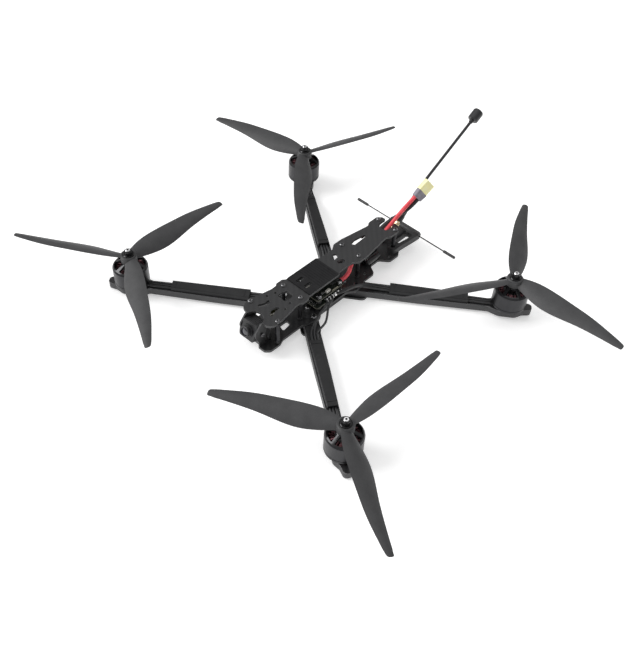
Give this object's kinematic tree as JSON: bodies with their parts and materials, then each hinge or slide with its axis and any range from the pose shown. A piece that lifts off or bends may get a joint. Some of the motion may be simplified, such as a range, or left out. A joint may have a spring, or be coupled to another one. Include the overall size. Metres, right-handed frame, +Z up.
{
  "type": "quadcopter drone",
  "caption": "Flat X-frame quadcopter with sandwiched carbon plates, open outrunner motors, three-blade propellers, tilting nose camera, tail antennas and a battery lead.",
  "frame": {"origin": "middle of the body on the underside of the lower plate, where the drone stands", "axes": "+Z up along the motor shafts, -Y forwards through the camera, +X to the drone's left"},
  "size_m": [0.5513, 0.4534, 0.1262],
  "materials": {
    "carbon": "satin woven carbon-fibre plate",
    "black_alloy": "satin black anodised",
    "black_steel": "black oxide steel",
    "bell_metal": "satin gunmetal anodised with glossy black top",
    "blade": "fine matt moulded",
    "laminate_steel": "coated steel laminations",
    "copper": "enamelled copper wire",
    "channel_plastic": "matt moulded plastic",
    "silicone_pad": "ribbed soft rubber",
    "camera_case": "matt moulded plastic",
    "lens_glass": "coated glass",
    "circuit_board": "black solder mask",
    "chips": "moulded chip bodies",
    "white_plugs": "moulded connectors and chips",
    "soft_spacer": "soft grommets",
    "transmitter_case": "black finned case",
    "capacitor_can": "sleeved can",
    "wire_black": "soft silicone insulation",
    "wire_red": "soft silicone insulation",
    "printed_yoke": "flexible printed plastic",
    "gold": "gold plated",
    "antenna_black": "semi-gloss moulded",
    "plug_yellow": "moulded nylon",
    "boot_grey": "soft sleeve"
  },
  "bodies": {
    "airframe": {"antenna_head": "antenna_black", "antenna_mount": "printed_yoke", "antenna_pole": "antenna_black", "arm_bolts": "black_steel", "arm_cover_front_left": "channel_plastic", "arm_cover_front_right": "channel_plastic", "arm_cover_rear_left": "channel_plastic", "arm_cover_rear_right": "channel_plastic", "arm_front_left": "carbon", "arm_front_right": "carbon", "arm_rear_left": "carbon", "arm_rear_right": "carbon", "battery_lead_black": "wire_black", "battery_lead_red": "wire_red", "battery_pad": "silicone_pad", "camera_cheek_left": "carbon", "camera_cheek_right": "carbon", "capacitor": "capacitor_can", "esc_board": "circuit_board", "esc_mosfets": "chips", "fc_board": "circuit_board", "fc_components": "white_plugs", "lead_plug_boot": "boot_grey", "lead_plug_contacts": "gold", "lead_plug_housing": "plug_yellow", "lock_nuts": "black_steel", "lower_plate": "carbon", "lower_screws": "black_steel", "main_plate": "carbon", "motor_bases": "bell_metal", "motor_screws": "black_steel", "motor_wires": "wire_black", "receiver": "circuit_board", "sma_connector": "gold", "stack_bolts": "black_steel", "stack_spacers": "soft_spacer", "standoffs": "black_alloy", "stator_coils": "copper", "stator_cores": "laminate_steel", "t_antenna_rods": "antenna_black", "t_antenna_sleeves": "antenna_black", "top_plate": "carbon", "top_screws": "black_steel", "video_transmitter": "transmitter_case"},
    "rotor_front_left": {"motor_bell_front_left": "bell_metal", "propeller_front_left": "blade", "prop_nut_front_left": "black_steel"},
    "rotor_front_right": {"motor_bell_front_right": "bell_metal", "propeller_front_right": "blade", "prop_nut_front_right": "black_steel"},
    "rotor_rear_left": {"motor_bell_rear_left": "bell_metal", "propeller_rear_left": "blade", "prop_nut_rear_left": "black_steel"},
    "rotor_rear_right": {"motor_bell_rear_right": "bell_metal", "propeller_rear_right": "blade", "prop_nut_rear_right": "black_steel"},
    "camera": {"camera_housing": "camera_case", "camera_lens": "camera_case", "camera_glass": "lens_glass", "camera_screws": "black_steel"}
  },
  "joints": [
    {"name": "spin_front_left", "type": "hinge", "parent": "airframe", "child": "rotor_front_left", "pos_m": [0.15, -0.13, 0.0463], "axis": [0, 0, 1], "continuous": true},
    {"name": "spin_front_right", "type": "hinge", "parent": "airframe", "child": "rotor_front_right", "pos_m": [-0.15, -0.13, 0.0463], "axis": [0, 0, 1], "continuous": true},
    {"name": "spin_rear_left", "type": "hinge", "parent": "airframe", "child": "rotor_rear_left", "pos_m": [0.15, 0.13, 0.0463], "axis": [0, 0, 1], "continuous": true},
    {"name": "spin_rear_right", "type": "hinge", "parent": "airframe", "child": "rotor_rear_right", "pos_m": [-0.15, 0.13, 0.0463], "axis": [0, 0, 1], "continuous": true},
    {"name": "camera_tilt", "type": "hinge", "parent": "airframe", "child": "camera", "pos_m": [0, -0.097, 0.03], "axis": [1, 0, 0], "range_deg": [-20, 25]}
  ]
}
